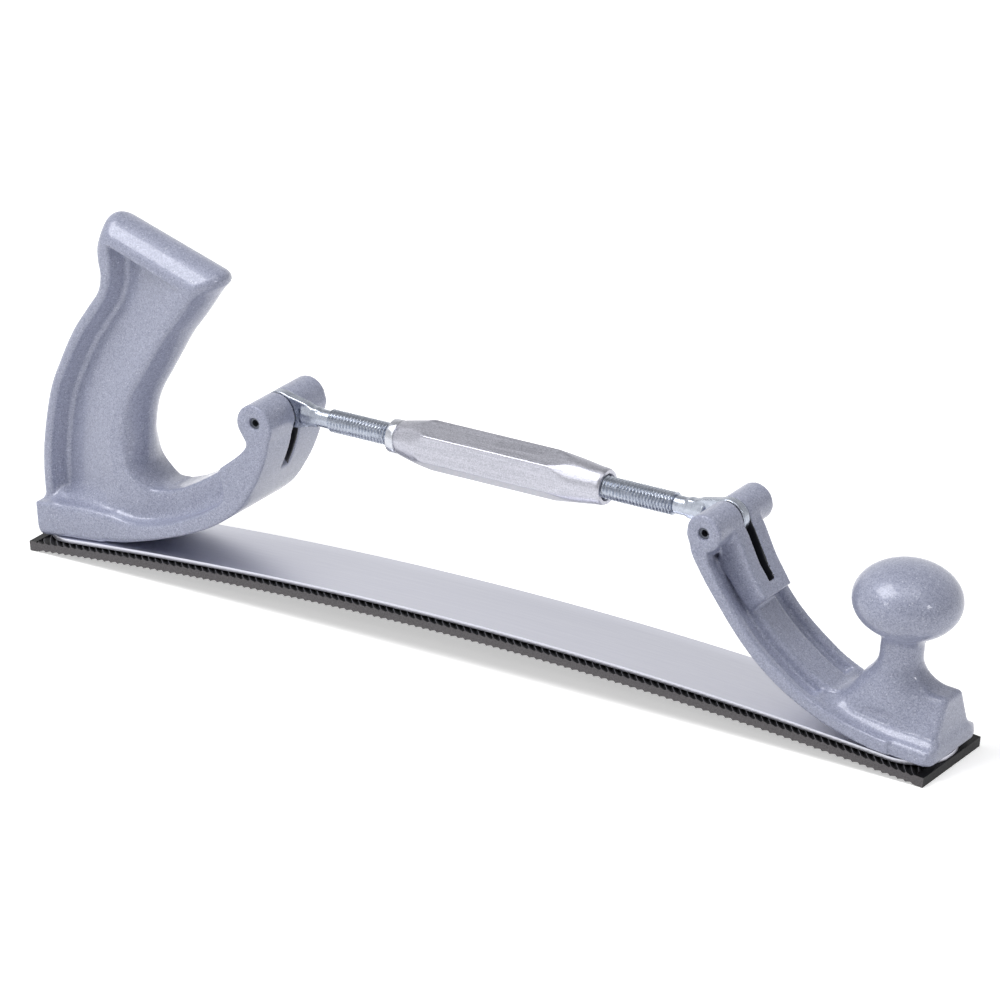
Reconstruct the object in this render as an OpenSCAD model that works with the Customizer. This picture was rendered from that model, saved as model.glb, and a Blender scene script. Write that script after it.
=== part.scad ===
// Flexible body file holder: a file blade and a springy back strap are screwed under two
// cast handles, and a turnbuckle between the handles bends the blade to a curve.
// X runs along the blade towards the knob, Y across it and Z up, in millimetres.
// The blade is drawn arched, as it stands on a table on its two ends.

/* [File blade] */
// Length of the sole between its square ends
file_length = 350; // [346:1:354]
// Width of the file
file_width = 37; // [35:0.5:38]
// Thickness over the tips of the teeth
file_thick = 3.5; // [3.3:0.1:3.8]
// Rise of the sole at mid length
sole_rise = 9.4; // [8:0.2:11]
// Depth of a tooth
tooth_depth = 0.6; // [0.5:0.1:1.1]
// Teeth on each bending link
link_teeth = 26; // [22:1:32]

/* [Back strap] */
// Width of the strap
strap_width = 32; // [30:0.5:33]
// Thickness of the strap
strap_thick = 1.5; // [1.2:0.1:1.8]
// Corner radius of the strap's ends
strap_corner = 14.5; // [10:0.5:14.5]

/* [Bending] */
// Length of one bending link
link_length = 72; // [70:1:74]
// Gap between two links
link_gap = 0.4; // [0.3:0.05:0.6]

/* [Handles] */
// Distance of each blade screw from mid length, along the blade
screw_station = 154; // [153:0.5:155]
// Width across the fork barrels
fork_width = 33.4; // [32:0.2:35]
// Width of the feet
foot_width = 30; // [28:0.5:30.5]
// Width of the rear grip
grip_width = 20.5; // [19:0.5:23]
// Width of the slot for an eyebolt
slot_width = 4; // [3.9:0.1:4.6]

/* [Knob] */
// Diameter of the knob
knob_d = 36.8; // [34:0.2:37]
// Height of the knob
knob_h = 24.8; // [22:0.2:27]
// Diameter of the neck under the knob
neck_d = 14.8; // [13:0.2:17]

/* [Turnbuckle] */
// Length of the turnbuckle without its bush collar
turnbuckle_length = 80.2; // [76:0.2:82]
// Size across the flats of the hexagon
hex_flats = 15; // [15:0.2:17]
// Distance from the rear pin to the bush collar
collar_station = 44.6; // [43:0.2:46]

/* [Eyebolts and pins] */
// Diameter over the thread
thread_d = 7.7; // [7.7:0.05:7.95]
// Pitch of the thread
thread_pitch = 1.25; // [1:0.25:1.5]
// Diameter of the hinge pins
pin_d = 4; // [3.5:0.1:4.5]
// Diameter of the eye
eye_d = 13; // [12:0.2:13.4]
// Thickness of the flattened eye
eye_thick = 3.4; // [3:0.1:3.5]

/* [Hidden] */
$fn = 64;

cast_paint = "#a6a9bb";
file_steel = "#4a4949";
strap_steel = "#d0d1e0";
zinc_steel = "#b9c2d2";
aluminium = "#b4b4ba";

// Arch of the sole, as a circle through its two ends and its middle
sole_r = (pow(file_length / 2, 2) + pow(sole_rise, 2)) / (2 * sole_rise);
sole_drop = sole_r - sole_rise;
half_arc = sole_r * asin(file_length / 2 / sole_r) * PI / 180;
strap_top = file_thick + strap_thick;
function turn_at(s) = s / sole_r * 180 / PI;

// The knob reaches a little past the file, so the arch stands this far from the origin
foot_turn = turn_at(screw_station);
knob_x = -0.7;
knob_z = 47;
knob_reach = (sole_r + strap_top + knob_z) * sin(foot_turn) + knob_x * cos(foot_turn)
    + norm([knob_d / 2 * cos(foot_turn), knob_h / 2 * sin(foot_turn)]);
arch_x = ((sole_r + file_thick) * sin(turn_at(half_arc)) - knob_reach) / 2;
function on_arch(s, h) = [arch_x + (sole_r + h) * sin(turn_at(s)), (sole_r + h) * cos(turn_at(s)) - sole_drop];

// Stations 4 mm apart along the arch, shared by every face that follows it
station_step = 4;
function stations(from, to) = concat([from],
    [for (i = [ceil(from / station_step + 0.01):floor(to / station_step - 0.01)]) i * station_step], [to]);

// Links between the two clamped ends
joint_1 = -1.5 * link_length;
joint_2 = -0.5 * link_length;
joint_3 = 0.5 * link_length;
joint_4 = 1.5 * link_length;
tooth_pitch = link_length / link_teeth;
tooth_lean = 0.25;
end_plain = 3;

// Each foot has its own frame, with its origin on the strap over the blade screw
rear_foot = on_arch(-screw_station, strap_top);
front_foot = on_arch(screw_station, strap_top);
function rear_point(p) = rear_foot + [p[0] * cos(foot_turn) - p[1] * sin(foot_turn),
                                      p[0] * sin(foot_turn) + p[1] * cos(foot_turn)];
function front_point(p) = front_foot + [p[0] * cos(foot_turn) + p[1] * sin(foot_turn),
                                        -p[0] * sin(foot_turn) + p[1] * cos(foot_turn)];

// Hinge pins in the frames of their feet, and the line between them
rear_pin = [77.8, 52.3];
front_pin = [-67.2, 53.9];
pin_from = rear_point(rear_pin);
pin_to = front_point(front_pin);
pin_distance = norm(pin_to - pin_from);
link_turn = atan2(pin_to[1] - pin_from[1], pin_to[0] - pin_from[0]);
pin_recess = 1;
pin_bore = 2.2;

// Smooth line through a few points, each stretch in equal steps
function spline_at(a, b, c, d, t) = 0.5 * (2 * b + (c - a) * t + (2 * a - 5 * b + 4 * c - d) * t * t
                                    + (3 * b - a - 3 * c + d) * t * t * t);
function smooth_line(p, steps) = [
    for (i = [0:len(p) - 2], k = [0:steps - 1])
        spline_at(p[max(i - 1, 0)], p[i], p[i + 1], p[min(i + 2, len(p) - 1)], k / steps),
    p[len(p) - 1]];
function reversed(p) = [for (i = [len(p) - 1:-1:0]) p[i]];
function shifted(p, by) = [for (q = p) q + by];

// Side view of the rear handle, in its foot's frame
grip_back = [[-19.4, 10], [-19.2, 20.4], [-17.4, 33.5], [-12.5, 51], [-6.6, 62.8], [0.2, 74],
             [7.3, 82.8], [12.4, 89], [15, 95], [15.4, 101], [14.8, 106.5]];
grip_cap = [[14.8, 106.5], [15.6, 110.6], [19, 113.4], [24, 113.4], [29.3, 111.6], [52, 100.8],
            [57.6, 97.2], [58.4, 93.8], [55.9, 89.8]];
grip_front = [[55.9, 89.8], [48.9, 81.3], [42.1, 73.7], [36.7, 66.1], [31.9, 59.2], [26.9, 52], [23.9, 45.6],
              [22.2, 38.4], [21.4, 32], [21.6, 26], [25, 21], [31, 19.8]];
rear_arm_top = [[31, 19.8], [38.9, 22], [48.2, 26.4], [54.6, 30], [62, 34.8], [69.4, 39.8],
                [73.2, 43.6], [73.6, 47]];
rear_arm_outer = [[8, 0], [16, 0.9], [24, 2.6], [34, 5.2], [44.7, 8.4], [56, 12.9], [67, 19.8],
                  [74.3, 28.6], [78.5, 35.5], [81.6, 42.5], [83.7, 50.5]];
rear_flange_top = [[-20.1, 11.6], [-4, 11.8], [10, 10.8], [20, 9.2], [30, 9.6], [40, 12.2], [52, 17],
                   [62.5, 23.4], [70, 31.6], [74.4, 38.6], [78, 47]];
rear_foot_heel = [[-20.4, 3.2], [-19.6, 1], [-17.6, -1], [8, -1]];
rear_barrel = [77.4, 51.9];
rear_barrel_r = 6.7;

// Crowned front of the grip: half widths of its layers, and how far each stands back
crown_half = [0.5 * grip_width, 0.44 * grip_width, 0.36 * grip_width, 0.25 * grip_width];
crown_back = [6.6, 4.6, 2.6, 0.8];

// Side recess of the grip: outline, and a floor that slopes out to the front edge
recess_line = [[-16, 15], [-15.8, 21], [-14, 33.5], [-9.2, 50.5], [-3.4, 61.6], [3.2, 72.2], [10, 80.6],
               [15.2, 87.2], [18, 93.6], [18.6, 100], [18.2, 104.6], [34, 98.8], [48, 92.4],
               [38.2, 77], [26, 59.8], [18, 47.4], [13.8, 38], [12.6, 29], [12.2, 20], [4, 15.6], [-6, 14.6]];
recess_hinge = [26, 58];
recess_lean = 54.4;
recess_slope = 16;
cap_point = [18.8, 106.6];
cap_slope = 25.4;
cap_crown = 7;
rear_rib_width = 16;

// Side view of the front handle, in its foot's frame
front_arm_outer = [[-73.3, 52.5], [-71.2, 46.6], [-66.7, 39.6], [-60.7, 32], [-54.3, 24.8], [-46.5, 17.6],
                   [-37.6, 11.4], [-28.5, 6.9], [-18.2, 3.3], [-7, 1], [3, 0]];
front_arm_top = [[-67, 47.5], [-62.6, 41.6], [-56.1, 33], [-45.6, 22.4], [-32.7, 13.8], [-24.6, 10],
                 [-14, 6.8], [-6, 5.4], [3, 4.6]];
front_foot_toe = [[20.2, 4.6], [20.2, 2], [18, -1], [3, -1]];
front_barrel_r = 6.3;
front_rib_width = 11;
front_rib_rise = [0.9, 1];
lip_width = 3;
valley_drop = [0.8, 1.2];
block_width = 16.6;
block_side = [[-66, 42], [-63, 57.5], [-58.6, 51.6], [-53.4, 42.6], [-47, 34.2], [-52.4, 28],
              [-58, 33.4]];
front_slot = [[-80, 46.4], [-67, 46.4], [-62.5, 41.4], [-52.6, 30.4], [-46.2, 36.6], [-46, 64], [-80, 64]];
rear_slot = [[81, 26.4], [66, 43.5], [66, 64], [92, 64], [92, 26.4]];
front_arm_width = 32;

// Foot body under the knob
body_base = [[-19, -12], [20.4, 12]];
body_top = [[-11, -7], [18.6, 7]];
body_base_z = 4.4;
body_top_z = [18.8, 20.4];
neck_z = 30;
flare_z = 19.4;
flare_r = 11.4;

// Blade screws with countersunk heads
screw_d = 6;
screw_head_d = 11;
screw_hole_d = 6.4;
screw_sink = 0.6;
screw_depth = 12;
thread_depth = 13;

// Eyebolts, along the line between the pins
shoulder_at = 13;
shoulder_w = 7;
thread_at = 20.5;
stud_end = 70;
thread_root_d = 6.6;

// Bush, and the shape of the turnbuckle along its length from the collar
collar_d = 11.4;
collar_width = 3.2;
bush_d = 10;
bush_length = 22;
bush_bore = 8;
bush_seat = 10.12;
stud_bore = 8.3;
turnbuckle_profile = [[0, 5.5], [1, 5.9], [6.5, 7.7], [11, 9.4], [55.5, 9.4], [58.5, 8.5], [63, 7.7],
                      [70, 6.95], [76, 6.4], [79.4, 6.15], [80.2, 5.7]];
hex_twist = 9;

// Frames
module in_rear_frame() translate([rear_foot[0], 0, rear_foot[1]]) rotate([0, -foot_turn, 0]) children();
module in_front_frame() translate([front_foot[0], 0, front_foot[1]]) rotate([0, foot_turn, 0]) children();
module on_link() translate([pin_from[0], 0, pin_from[1]]) rotate([0, -link_turn, 0]) children();

// An outline in the XZ plane, made a slab centred on Y
module slab(width) rotate([90, 0, 0]) translate([0, 0, -width / 2]) linear_extrude(width) children();

// A round bar along Y at a point of the XZ plane
module cross_bar(at, d, length) translate([at[0], length / 2, at[1]]) rotate([90, 0, 0]) cylinder(d = d, h = length);

// A round bar along X
module along_bar(from, to, d) translate([from, 0, 0]) rotate([0, 90, 0]) cylinder(d = d, h = to - from);

// The space taken by the blade and the strap, up to the strap's upper face
module under_strap() {
    top = [for (s = stations(-half_arc, half_arc)) on_arch(s, strap_top)];
    slab(3 * file_width) polygon(concat(top, [[file_length, -20], [-file_length, -20]]));
}

// Tapped hole for a blade screw, in a foot's frame
module screw_thread_hole() translate([0, 0, -1]) cylinder(d = screw_d, h = thread_depth + 1);

module crowned_cap() {
    // Everything over the cap's lower edge that lies outside its rounded top
    length = 90;
    arch = [for (a = [0:9:180]) [0.5 * grip_width * cos(a), cap_crown * sin(a)]];
    translate([cap_point[0], 0, cap_point[1]]) rotate([0, cap_slope, 0]) difference() {
        translate([-20, -grip_width, 0]) cube([length, 2 * grip_width, 30]);
        translate([-21, 0, 0]) rotate([90, 0, 90]) linear_extrude(length + 2)
            polygon(concat([[0.5 * grip_width, -1]], arch, [[-0.5 * grip_width, -1]]));
    }
}

module grip_recess() intersection() {
    slab(2 * grip_width) polygon(smooth_line(recess_line, 4));
    translate([recess_hinge[0], -grip_width / 2, recess_hinge[1]]) rotate([0, -recess_lean, 0])
        rotate([-recess_slope, 0, 0]) translate([-70, -40, -1]) cube([140, 40, 70]);
}

module grip_block() difference() {
    for (i = [0:len(crown_half) - 1])
        slab(2 * crown_half[i]) polygon(concat(
            smooth_line(grip_back, 4), smooth_line(grip_cap, 4),
            shifted(smooth_line(grip_front, 4), [-crown_back[i], 0]), [[31, 8], [-10, 8]]));
    crowned_cap();
    grip_recess();
    mirror([0, 1, 0]) grip_recess();
}

// Plan of the rear foot and its flange, widening to the fork
module rear_plan() translate([0, 0, -5]) linear_extrude(80)
    polygon([[-25, -foot_width / 2], [12, -foot_width / 2], [60, -fork_width / 2], [95, -fork_width / 2],
             [95, fork_width / 2], [60, fork_width / 2], [12, foot_width / 2], [-25, foot_width / 2]]);

module rear_casting() {
    outer = smooth_line(rear_arm_outer, 5);
    grip_block();
    intersection() {
        slab(fork_width) polygon(concat(rear_foot_heel, outer, reversed(smooth_line(rear_flange_top, 5))));
        rear_plan();
    }
    slab(rear_rib_width) polygon(concat([[12, 4]], outer, reversed(smooth_line(rear_arm_top, 5)), [[12, 18]]));
    slab(fork_width) polygon(concat([for (p = outer) if (p[0] > 68) p],
        [rear_barrel], [for (p = reversed(smooth_line(rear_arm_top, 5))) if (p[0] > 61) p], [[63, 25]]));
    cross_bar(rear_barrel, 2 * rear_barrel_r, fork_width);
}

module rear_handle() color(cast_paint) difference() {
    in_rear_frame() difference() {
        rear_casting();
        slab(slot_width) polygon(rear_slot);
        cross_bar(rear_pin, pin_d, fork_width + 2);
        screw_thread_hole();
    }
    under_strap();
}

// Knob, neck and flare as one turned shape
module knob() translate([knob_x, 0, 0]) rotate_extrude() {
    a = knob_d / 2;
    c = knob_h / 2;
    ellipse = [for (t = [-62:8:90]) [a * cos(t), knob_z + c * sin(t)]];
    neck = smooth_line([[flare_r, flare_z - 2], [flare_r - 0.6, flare_z], [8.8, 23.2], [neck_d / 2 + 0.2, 27],
                        [neck_d / 2, neck_z], [neck_d / 2 + 0.3, 33.2], ellipse[0]], 4);
    polygon(concat([[0, flare_z - 2]], neck, ellipse, [[0, knob_z + c]]));
}

// Foot body that carries the knob's neck: a tapered block with a sloping top
module foot_body() hull() {
    translate([body_base[0][0], body_base[0][1], 3])
        cube([body_base[1][0] - body_base[0][0], body_base[1][1] - body_base[0][1], body_base_z - 3]);
    slab(body_top[1][1] - body_top[0][1]) polygon([[body_top[0][0], body_base_z], [body_top[0][0], body_top_z[0]],
        [body_top[1][0] - 1.4, body_top_z[1]], [body_top[1][0], body_top_z[1] - 1.6], [body_top[1][0] + 2, body_base_z]]);
}

module front_arm() {
    outer = smooth_line(front_arm_outer, 5);
    top = smooth_line(front_arm_top, 5);
    slab(front_arm_width) polygon(concat(outer, reversed(shifted(top, -valley_drop))));
    for (side = [-1, 1]) translate([0, side * (front_arm_width - lip_width) / 2, 0])
        slab(lip_width) polygon(concat(outer, reversed(top)));
    slab(front_rib_width) polygon(concat(outer, reversed(shifted(top, front_rib_rise))));
    slab(block_width) polygon(block_side);
    slab(fork_width) polygon(concat([front_pin], [for (p = reversed(top)) if (p[0] < -64) p],
        [for (p = reversed(outer)) if (p[0] < -68) p]));
    cross_bar(front_pin, 2 * front_barrel_r, fork_width);
}

module front_casting() {
    front_arm();
    slab(foot_width) polygon(concat([[-26, 6], [-26, 7.6]], [for (p = smooth_line(front_arm_top, 5)) if (p[0] > -24) p],
        front_foot_toe, [[3, 0], [-7, 1], [-18.2, 3.3]]));
    foot_body();
    knob();
}

module front_handle() color(cast_paint) difference() {
    in_front_frame() difference() {
        front_casting();
        slab(slot_width) polygon(front_slot);
        cross_bar(front_pin, pin_d, fork_width + 2);
        screw_thread_hole();
    }
    under_strap();
}

// Hollow spring pin, set a little below both faces of the fork
module hinge_pin(at) color(zinc_steel) difference() {
    cross_bar(at, pin_d, fork_width - 2 * pin_recess);
    cross_bar(at, pin_bore, fork_width);
}
module rear_hinge_pin() hinge_pin(pin_from);
module front_hinge_pin() hinge_pin(pin_to);

// Eyebolt with its eye at the origin and its stud along +X
module eyebolt() {
    running_play = 0.1;
    rings = floor((stud_end - 24 - thread_at) / thread_pitch);
    ring = [for (i = [0:rings - 1], k = [0:1])
        [thread_at + (i + k / 2) * thread_pitch, k == 0 ? thread_root_d / 2 : thread_d / 2]];
    difference() {
        union() {
            cross_bar([0, 0], eye_d, eye_thick);
            slab(eye_thick) polygon([[2, eye_d / 2 - 0.4], [7, 5.2], [shoulder_at, shoulder_w / 2],
                                     [shoulder_at, -shoulder_w / 2], [7, -5.2], [2, -eye_d / 2 + 0.4]]);
        }
        cross_bar([0, 0], pin_d + running_play, 2 * eye_thick);
    }
    along_bar(shoulder_at, thread_at, shoulder_w);
    rotate([0, 90, 0]) rotate_extrude()
        polygon(concat([[0, thread_at]], [for (p = ring) [p[1], p[0]]],
                       [[thread_d / 2, thread_at + rings * thread_pitch], [0, thread_at + rings * thread_pitch]]));
    along_bar(thread_at + rings * thread_pitch, stud_end, thread_d);
}
module rear_eyebolt() color(zinc_steel) on_link() eyebolt();
module front_eyebolt() color(zinc_steel) on_link() translate([pin_distance, 0, 0]) mirror([1, 0, 0]) eyebolt();

// Steel bush with the left-hand thread, its collar showing behind the turnbuckle
module left_hand_bush() color(zinc_steel) on_link() difference() {
    union() {
        along_bar(collar_station, collar_station + collar_width, collar_d);
        along_bar(collar_station, collar_station + bush_length, bush_d);
    }
    along_bar(collar_station - 1, collar_station + bush_length + 1, bush_bore);
}

// Hexagonal turnbuckle with both ends turned to a taper
module turnbuckle_body() {
    start = collar_station + collar_width;
    stretch = turnbuckle_length / 80.2;
    profile = [for (p = turnbuckle_profile) [p[1], p[0] * stretch]];
    color(aluminium) on_link() translate([start, 0, 0]) difference() {
        intersection() {
            rotate([0, 90, 0]) rotate_extrude() polygon(concat([[0, 0]], profile, [[0, turnbuckle_length]]));
            rotate([hex_twist, 0, 0]) rotate([0, 90, 0])
                cylinder(d = hex_flats / cos(30), h = turnbuckle_length, $fn = 6);
        }
        along_bar(-1, bush_length - collar_width + 1, bush_seat);
        along_bar(-1, turnbuckle_length + 1, stud_bore);
    }
}

// Countersunk blade screw, in a foot's frame
module blade_screw() {
    head_low = screw_sink - strap_top;
    taper = (screw_head_d - screw_d) / 2;
    difference() {
        union() {
            translate([0, 0, head_low]) cylinder(d1 = screw_head_d, d2 = screw_d, h = taper);
            translate([0, 0, head_low]) cylinder(d = screw_d, h = screw_depth - head_low);
        }
        translate([0, 0, head_low - 1]) cylinder(d = 4 / cos(30), h = 3, $fn = 6);
    }
}
module rear_blade_screw() color(zinc_steel) in_rear_frame() blade_screw();
module front_blade_screw() color(zinc_steel) in_front_frame() blade_screw();

// Hole for a blade screw through file and strap
module screw_hole() {
    head_low = screw_sink - strap_top;
    taper = (screw_head_d - screw_d) / 2;
    translate([0, 0, -strap_top - 1]) cylinder(d = screw_hole_d, h = strap_top + 2);
    translate([0, 0, head_low]) cylinder(d1 = screw_head_d, d2 = screw_d, h = taper);
    translate([0, 0, head_low - screw_sink - 1]) cylinder(d = screw_head_d, h = screw_sink + 1.001);
}
module screw_holes() {
    in_rear_frame() screw_hole();
    in_front_frame() screw_hole();
}

// Zigzag of teeth along one face of the file, tips at one height and gullets at another
function teeth(from, count, tip, gullet) = [for (i = [0:count - 1], k = [0:1])
    k == 0 ? on_arch(from + i * tooth_pitch, gullet) : on_arch(from + (i + tooth_lean) * tooth_pitch, tip)];

// A stretch of the file with a number of teeth, and plain ends between the stations given
module file_stretch(from, to, tooth_from, count) color(file_steel) difference() {
    sole = concat([on_arch(from, tooth_depth)], teeth(tooth_from, count, 0, tooth_depth), [on_arch(to, tooth_depth)]);
    back = concat([on_arch(from, file_thick - tooth_depth)],
                  teeth(tooth_from, count, file_thick, file_thick - tooth_depth),
                  [on_arch(to, file_thick - tooth_depth)]);
    slab(file_width) polygon(concat(sole, reversed(back)));
    screw_holes();
}
module file_link(from) file_stretch(from + link_gap / 2, from + link_length - link_gap / 2,
                                    from + 0.3 * tooth_pitch, link_teeth - 1);
module file_link_1() file_link(joint_1);
module file_link_2() file_link(joint_2);
module file_link_3() file_link(joint_3);

// Plain end of the file with its full thickness, joined to a toothed stretch
end_teeth = floor((half_arc + joint_1 - end_plain) / tooth_pitch);
module plain_end(from, to) color(file_steel)
    slab(file_width) polygon([on_arch(from, 0), on_arch(to, 0), on_arch(to, file_thick), on_arch(from, file_thick)]);
module file_rear_end() {
    plain_end(-half_arc, joint_1 - (end_teeth + 0.4) * tooth_pitch);
    file_stretch(-half_arc + end_plain / 2, joint_1 - link_gap / 2, joint_1 - (end_teeth + 0.6) * tooth_pitch, end_teeth);
}
module file_front_end() {
    plain_end(joint_4 + (end_teeth + 0.4) * tooth_pitch, half_arc);
    file_stretch(joint_4 + link_gap / 2, half_arc - end_plain / 2, joint_4 + 0.4 * tooth_pitch, end_teeth);
}

// A stretch of the strap, lying on the file
module strap_stretch(from, to) color(strap_steel) {
    low = [for (s = stations(from, to)) on_arch(s, file_thick)];
    high = [for (s = stations(from, to)) on_arch(s, strap_top)];
    slab(strap_width) polygon(concat(low, reversed(high)));
}
module strap_link(from) strap_stretch(from + link_gap / 2, from + link_length - link_gap / 2);
module strap_link_1() strap_link(joint_1);
module strap_link_2() strap_link(joint_2);
module strap_link_3() strap_link(joint_3);

// Plan of a strap with round corners, to trim both ends
strap_end = screw_station + 20.8;
module strap_plan() translate([arch_x, 0, 0]) {
    reach = strap_end - strap_corner;
    side = strap_width / 2 - strap_corner;
    linear_extrude(60) {
        square([2 * reach, strap_width], center = true);
        square([2 * strap_end, 2 * side], center = true);
        for (x = [-reach, reach], y = [-side, side]) translate([x, y]) circle(strap_corner);
    }
}
module strap_clamped(from, to) color(strap_steel) difference() {
    intersection() {
        strap_stretch(from, to);
        strap_plan();
    }
    screw_holes();
}
module strap_rear_end() strap_clamped(-half_arc, joint_1 - link_gap / 2);
module strap_front_end() strap_clamped(joint_4 + link_gap / 2, half_arc);

rear_handle();
front_handle();
rear_hinge_pin();
front_hinge_pin();
rear_eyebolt();
front_eyebolt();
left_hand_bush();
turnbuckle_body();
rear_blade_screw();
front_blade_screw();
file_rear_end();
file_link_1();
file_link_2();
file_link_3();
file_front_end();
strap_rear_end();
strap_link_1();
strap_link_2();
strap_link_3();
strap_front_end();
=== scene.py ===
"""Flexible body file: a milled file blade and a spring steel strap under two cast handles, bent to a
curve by a turnbuckle between the handles. Sizes are in millimetres until a mesh is made from them."""
import math

import bpy
import numpy as np
from mathutils import Matrix, Vector


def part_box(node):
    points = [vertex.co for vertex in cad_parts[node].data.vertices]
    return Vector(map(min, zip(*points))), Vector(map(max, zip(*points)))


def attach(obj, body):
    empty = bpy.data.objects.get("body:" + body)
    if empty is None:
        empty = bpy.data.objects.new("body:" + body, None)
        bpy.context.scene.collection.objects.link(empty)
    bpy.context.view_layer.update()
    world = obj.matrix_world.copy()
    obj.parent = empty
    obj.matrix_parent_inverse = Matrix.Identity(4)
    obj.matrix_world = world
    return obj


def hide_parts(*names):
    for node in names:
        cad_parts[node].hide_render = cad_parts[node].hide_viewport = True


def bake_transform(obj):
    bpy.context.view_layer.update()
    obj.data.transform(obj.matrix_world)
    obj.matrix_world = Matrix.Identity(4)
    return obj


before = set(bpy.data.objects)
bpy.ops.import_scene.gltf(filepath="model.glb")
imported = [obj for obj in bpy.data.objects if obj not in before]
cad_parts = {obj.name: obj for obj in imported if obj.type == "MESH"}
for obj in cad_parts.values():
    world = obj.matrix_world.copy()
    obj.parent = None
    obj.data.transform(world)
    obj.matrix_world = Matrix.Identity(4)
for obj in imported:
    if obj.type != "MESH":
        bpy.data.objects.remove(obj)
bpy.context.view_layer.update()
MM = 0.001

# Sizes of the blade, the strap and their arch
file_length = 350
file_width = 37
file_thick = 3.5
sole_rise = 9.4
tooth_depth = 0.6
link_length = 72
link_teeth = 26
strap_width = 32
strap_thick = 1.5
strap_corner = 14.5
screw_station = 154
strap_end = screw_station + 20.8
end_plain = 3

# Sizes of the handles
fork_width = 33.4
foot_width = 30
grip_width = 20.5
slot_width = 4
pin_d = 4
screw_d = 6
screw_head_d = 11
screw_sink = 0.6
screw_reach = 13

# Sizes of the eyebolts, the bush and the turnbuckle
eye_r = 6.5
eye_half = 1.7
eye_play = 0.1
tongue_end = 15
shoulder_at = 13
shoulder_d = 6.2
shoulder_middle = 14.6
shoulder_reach = 5.9
thread_at = 20.5
stud_end = 70
thread_d = 7.7
thread_root_d = 6.4
thread_pitch = 1.25
collar_station = 44.6
collar_d = 11.4
collar_width = 3.2
bush_d = 10
bush_length = 22
bush_bore = 8
hex_flats = 15
hex_twist = 9
turnbuckle_length = 80.2
stud_bore = 8.3

# Places along the arch, worked out as in the CAD
strap_top = file_thick + strap_thick
sole_r = ((file_length / 2) ** 2 + sole_rise ** 2) / (2 * sole_rise)
sole_drop = sole_r - sole_rise
half_arc = sole_r * math.asin(file_length / 2 / sole_r)
foot_turn = screw_station / sole_r
pins = [np.array(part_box(name)).mean(axis=0) / MM for name in ("rear_hinge_pin", "front_hinge_pin")]
pin_distance = np.linalg.norm(pins[1] - pins[0])
file_ends = [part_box("file_rear_end")[0][0] / MM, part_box("file_front_end")[1][0] / MM]
arch_x = (file_ends[0] + file_ends[1]) / 2


def on_arch(s, height):
    """Point at a distance along the sole from mid length, and a height over it"""
    return np.stack([arch_x + (sole_r + height) * np.sin(s / sole_r), 0 * s,
                     (sole_r + height) * np.cos(s / sole_r) - sole_drop], axis=-1)


def on_foot(points, side):
    """Points of a foot's own frame, in the frame of the object: side is -1 at the rear and 1 at the front"""
    foot = on_arch(np.array(side * screw_station), strap_top)
    turn = Matrix.Rotation(side * foot_turn, 3, "Y")
    return points @ np.array(turn).T + foot


def on_link(points, end):
    """Points of the line between the pins, measured from the rear pin, or from the front pin and mirrored"""
    along = (pins[1] - pins[0]) / pin_distance
    if end == "front":
        along = -along
    across = np.array([0.0, 1.0, 0.0])
    axes = np.stack([along, across, np.cross(along, across)])
    return points @ axes + (pins[1] if end == "front" else pins[0])


# Outlines and distance fields, from which the castings are made
def smooth_line(points, steps=8):
    """Smooth curve through a few points, each stretch in equal steps"""
    p = np.array([points[0], *points, points[-1]], float)
    t = np.arange(steps)[:, None] / steps
    stretches = [0.5 * (2 * b + (c - a) * t + (2 * a - 5 * b + 4 * c - d) * t ** 2
                        + (3 * b - a - 3 * c + d) * t ** 3)
                 for a, b, c, d in zip(p, p[1:], p[2:], p[3:])]
    return np.vstack([*stretches, p[-1:]])


def line_distance(points, x, z):
    """Distance of every sample from an open line of the side view"""
    nearest = np.inf
    for (ax, az), (bx, bz) in zip(points, points[1:]):
        dx, dz = bx - ax, bz - az
        along = np.clip(((x - ax) * dx + (z - az) * dz) / (dx * dx + dz * dz + 1e-12), 0, 1)
        nearest = np.minimum(nearest, (x - ax - along * dx) ** 2 + (z - az - along * dz) ** 2)
    return np.sqrt(nearest)


def outline_distance(points, x, z):
    """Signed distance from a closed outline of the side view, negative inside it"""
    closed = np.vstack([points, points[:1]])
    inside = np.zeros(np.broadcast(x, z).shape, bool)
    for (ax, az), (bx, bz) in zip(closed, closed[1:]):
        if az != bz:
            crossing = ax + (z - az) * (bx - ax) / (bz - az)
            inside ^= ((az > z) != (bz > z)) & (x < crossing)
    return np.where(inside, -1, 1) * line_distance(closed, x, z)


def past_line(a, b, x, z):
    """Signed distance from a straight line, positive to the right of the way from a to b"""
    dx, dz = b[0] - a[0], b[1] - a[1]
    return ((x - a[0]) * dz - (z - a[1]) * dx) / math.hypot(dx, dz)


def round_join(a, b, radius):
    """Union of two solids with a hollow fillet between them"""
    near = np.hypot(np.maximum(radius - a, 0), np.maximum(radius - b, 0))
    return np.maximum(radius, np.minimum(a, b)) - near


def round_meet(a, b, radius):
    """Space inside both solids, with its edge rounded"""
    near = np.hypot(np.maximum(radius + a, 0), np.maximum(radius + b, 0))
    return np.minimum(-radius, np.maximum(a, b)) + near


def round_cut(a, b, radius):
    """The first solid without the second, with the edge of the cut rounded"""
    return round_meet(a, -b, radius)


def ramp(value, low, high):
    """Smooth step from 0 at low to 1 at high"""
    t = np.clip((value - low) / (high - low), 0, 1)
    return t * t * (3 - 2 * t)


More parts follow.
